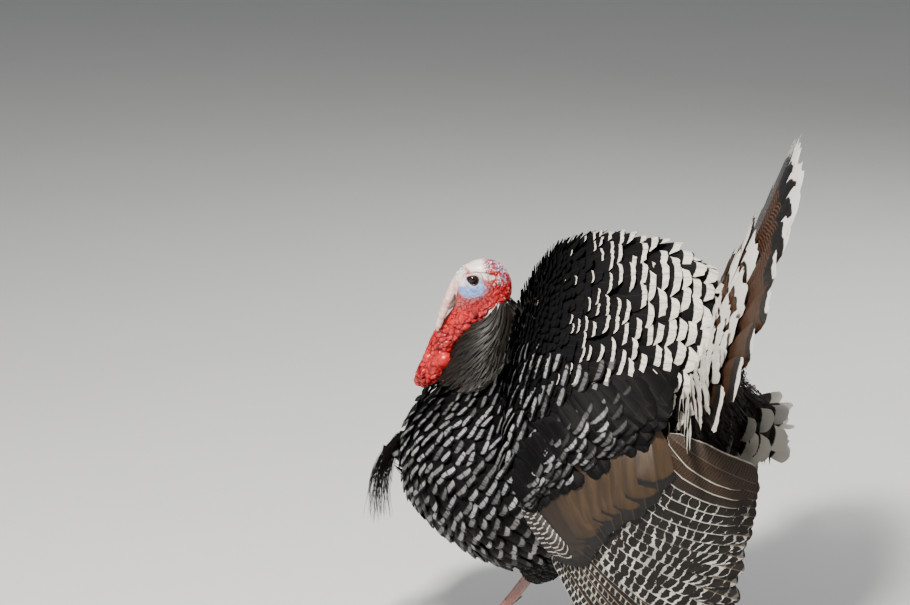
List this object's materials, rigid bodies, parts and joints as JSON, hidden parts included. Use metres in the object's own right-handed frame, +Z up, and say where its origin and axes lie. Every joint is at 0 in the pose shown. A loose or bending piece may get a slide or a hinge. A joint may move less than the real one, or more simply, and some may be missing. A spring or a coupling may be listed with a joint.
{
  "type": "wild turkey tom in strut, still life-size museum model",
  "caption": "Wild turkey tom standing in full strut, tail fanned and wings lowered: a still, life-size museum model that rests on its feet and wing tips.",
  "frame": {"origin": "on the floor under the middle of the model's bounding box, close to midway between the feet and the wing tips", "axes": "+Z up; the bird faces -Y with its left side towards +X, and X = 0 is its mid-plane"},
  "size_m": [0.6632, 0.6526, 0.8183],
  "materials": {
    "breast_feather": "overlapping square-tipped feathers, bronze-black with a silvery gloss",
    "velvet_feather": "velvet-black feathers, some with ivory edges",
    "thigh_feather": "short dark brown feathers",
    "flight_feather": "stiff vanes barred dark brown and white, brown shafts",
    "wing_covert": "satin bronze-brown feathers with a black edge",
    "rectrix": "chestnut and black barred vanes, black band, pale tip",
    "tail_covert": "chestnut feathers with a broad ivory tip",
    "undertail_feather": "brown feathers with a black band and a white tip",
    "down": "soft dark grey-brown down",
    "neck_feather": "hair-like grey-brown feathers",
    "head_skin": "bare wrinkled skin, powder blue to white and pink",
    "red_skin": "bare red skin in moist round bulbs",
    "snood_skin": "soft pinkish-white wrinkled skin",
    "bill_horn": "smooth pale horn",
    "eye": "wet dark brown eye",
    "beard": "coarse black bristles",
    "leg_skin": "reddish-grey scales",
    "claw_horn": "smooth horn"
  },
  "bodies": {
    "root": {"breast": "breast_feather", "belly": "breast_feather", "mantle": "velvet_feather", "scapulars_left": "velvet_feather", "scapulars_right": "velvet_feather", "thigh_left": "thigh_feather", "thigh_right": "thigh_feather", "primaries_left": "flight_feather", "primaries_right": "flight_feather", "secondaries_left": "flight_feather", "secondaries_right": "flight_feather", "wing_coverts_left": "wing_covert", "wing_coverts_right": "wing_covert", "tail_fan": "rectrix", "tail_coverts": "tail_covert", "undertail_coverts": "undertail_feather", "rump": "down", "neck": "neck_feather", "head": "head_skin", "throat": "red_skin", "caruncles": "red_skin", "snood": "snood_skin", "bill_upper": "bill_horn", "bill_lower": "bill_horn", "eye_left": "eye", "eye_right": "eye", "beard": "beard", "shank_left": "leg_skin", "shank_right": "leg_skin", "foot_left": "leg_skin", "foot_right": "leg_skin", "claw_inner_left": "claw_horn", "claw_middle_left": "claw_horn", "claw_outer_left": "claw_horn", "claw_hind_left": "claw_horn", "claw_inner_right": "claw_horn", "claw_middle_right": "claw_horn", "claw_outer_right": "claw_horn", "claw_hind_right": "claw_horn", "spur_left": "claw_horn", "spur_right": "claw_horn"}
  },
  "joints": []
}
